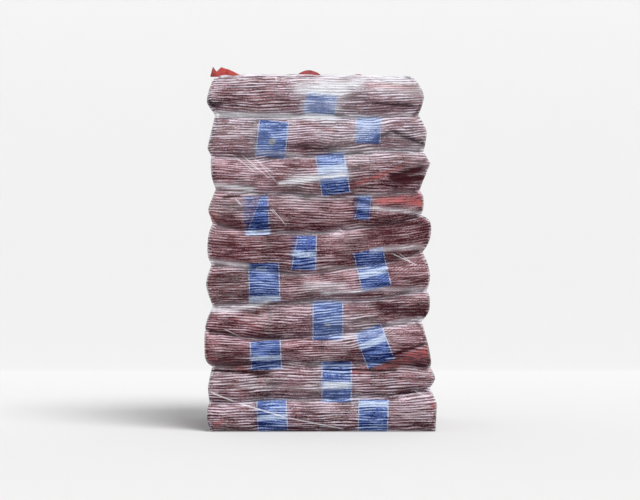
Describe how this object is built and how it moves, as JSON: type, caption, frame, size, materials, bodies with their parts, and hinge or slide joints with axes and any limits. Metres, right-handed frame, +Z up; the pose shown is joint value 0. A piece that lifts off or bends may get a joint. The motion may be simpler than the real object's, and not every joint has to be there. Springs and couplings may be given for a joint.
{
  "type": "wrapped load of firewood in net sacks",
  "caption": "Load of split firewood in red knitted net sacks, laid flat in bonded tiers and held together by a pleated wrap of clear stretch film.",
  "frame": {"origin": "middle of the load's footprint, at floor level", "axes": "+Z up, +X to the right and -Y towards the viewer, seen from the front face with the sacks' printed labels"},
  "size_m": [1.12, 0.853, 1.756],
  "materials": {
    "net_sack": "red knitted plastic net, filled with split logs",
    "stretch_wrap": "clear glossy stretch film with fine level pleats"
  },
  "bodies": {
    "root": {"sack_01_front_left": "net_sack", "sack_01_front_right": "net_sack", "sack_01_rear_left": "net_sack", "sack_01_rear_middle": "net_sack", "sack_01_rear_right": "net_sack", "sack_02_flank_left": "net_sack", "sack_02_front_middle": "net_sack", "sack_02_inner_middle": "net_sack", "sack_02_flank_right": "net_sack", "sack_02_rear_left": "net_sack", "sack_02_rear_right": "net_sack", "sack_03_front_left": "net_sack", "sack_03_front_right": "net_sack", "sack_03_rear_left": "net_sack", "sack_03_rear_middle": "net_sack", "sack_03_rear_right": "net_sack", "sack_04_flank_left": "net_sack", "sack_04_front_middle": "net_sack", "sack_04_inner_middle": "net_sack", "sack_04_flank_right": "net_sack", "sack_04_rear_left": "net_sack", "sack_04_rear_right": "net_sack", "sack_05_front_left": "net_sack", "sack_05_front_right": "net_sack", "sack_05_rear_left": "net_sack", "sack_05_rear_middle": "net_sack", "sack_05_rear_right": "net_sack", "sack_06_flank_left": "net_sack", "sack_06_front_middle": "net_sack", "sack_06_inner_middle": "net_sack", "sack_06_flank_right": "net_sack", "sack_06_rear_left": "net_sack", "sack_06_rear_right": "net_sack", "sack_07_front_left": "net_sack", "sack_07_front_right": "net_sack", "sack_07_rear_left": "net_sack", "sack_07_rear_middle": "net_sack", "sack_07_rear_right": "net_sack", "sack_08_flank_left": "net_sack", "sack_08_front_middle": "net_sack", "sack_08_inner_middle": "net_sack", "sack_08_flank_right": "net_sack", "sack_08_rear_left": "net_sack", "sack_08_rear_right": "net_sack", "sack_09_front_left": "net_sack", "sack_09_front_right": "net_sack", "sack_09_rear_left": "net_sack", "sack_09_rear_middle": "net_sack", "sack_09_rear_right": "net_sack", "sack_10_flank_left": "net_sack", "sack_10_front_middle": "net_sack", "sack_10_inner_middle": "net_sack", "sack_10_flank_right": "net_sack", "sack_10_rear_left": "net_sack", "sack_10_rear_right": "net_sack", "stretch_wrap": "stretch_wrap"}
  },
  "joints": []
}
